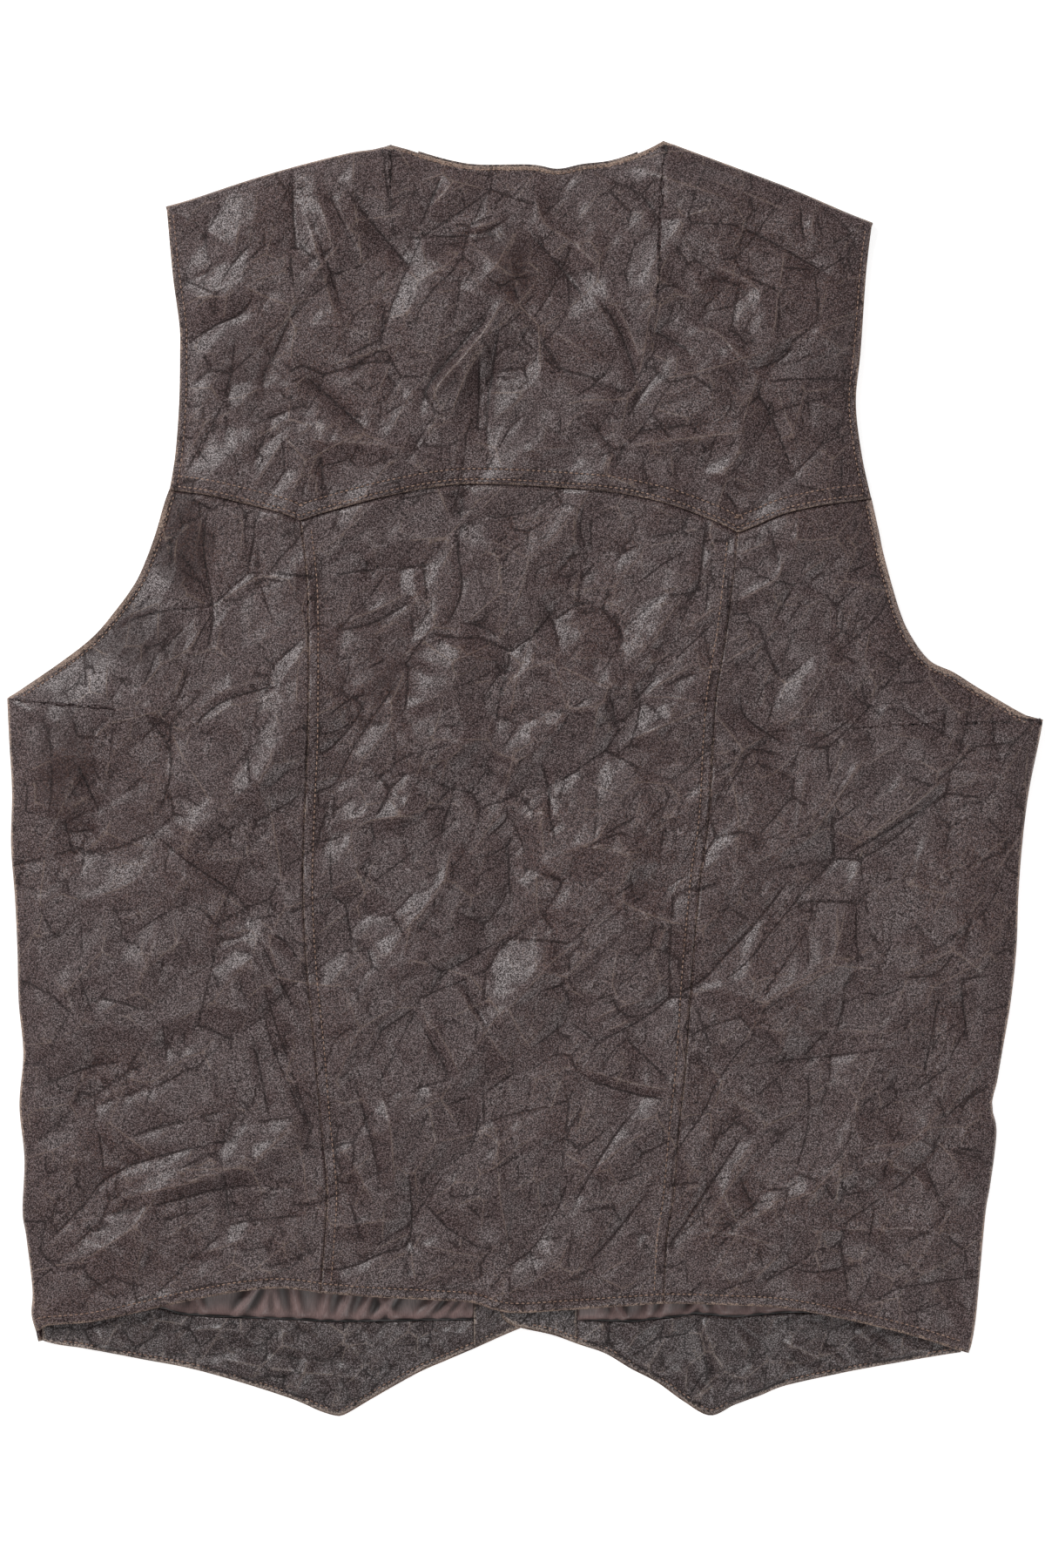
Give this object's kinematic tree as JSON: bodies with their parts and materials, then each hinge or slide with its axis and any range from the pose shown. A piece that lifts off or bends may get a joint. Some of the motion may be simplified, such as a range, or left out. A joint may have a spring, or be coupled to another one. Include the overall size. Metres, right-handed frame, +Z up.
{
  "type": "leather vest",
  "caption": "Sleeveless leather vest laid flat with its back up: shoulder yoke, three back panels, lapped fronts with pointed hems underneath, faced and lined inside.",
  "frame": {"origin": "on the surface the vest lies on, under the middle of its outline", "axes": "+Y runs from the hem to the neck, +X to the right as the back is seen from above, +Z up off the surface"},
  "size_m": [0.5422, 0.6671, 0.0162],
  "materials": {
    "shell_leather": "satin, worn",
    "facing_leather": "satin",
    "lining": "satin",
    "snap_metal": "dulled"
  },
  "bodies": {
    "root": {"back_yoke": "shell_leather", "middle_back": "shell_leather", "side_back_left": "shell_leather", "side_back_right": "shell_leather", "front_left": "shell_leather", "front_right": "shell_leather", "hem_facing_left": "facing_leather", "hem_facing_right": "facing_leather", "edge_facing_left": "facing_leather", "edge_facing_right": "facing_leather", "front_lining_left": "lining", "front_lining_right": "lining", "neck_facing": "facing_leather", "snap_cap_1": "snap_metal", "snap_cap_2": "snap_metal", "snap_cap_3": "snap_metal", "snap_cap_4": "snap_metal", "snap_cap_5": "snap_metal"}
  },
  "joints": []
}
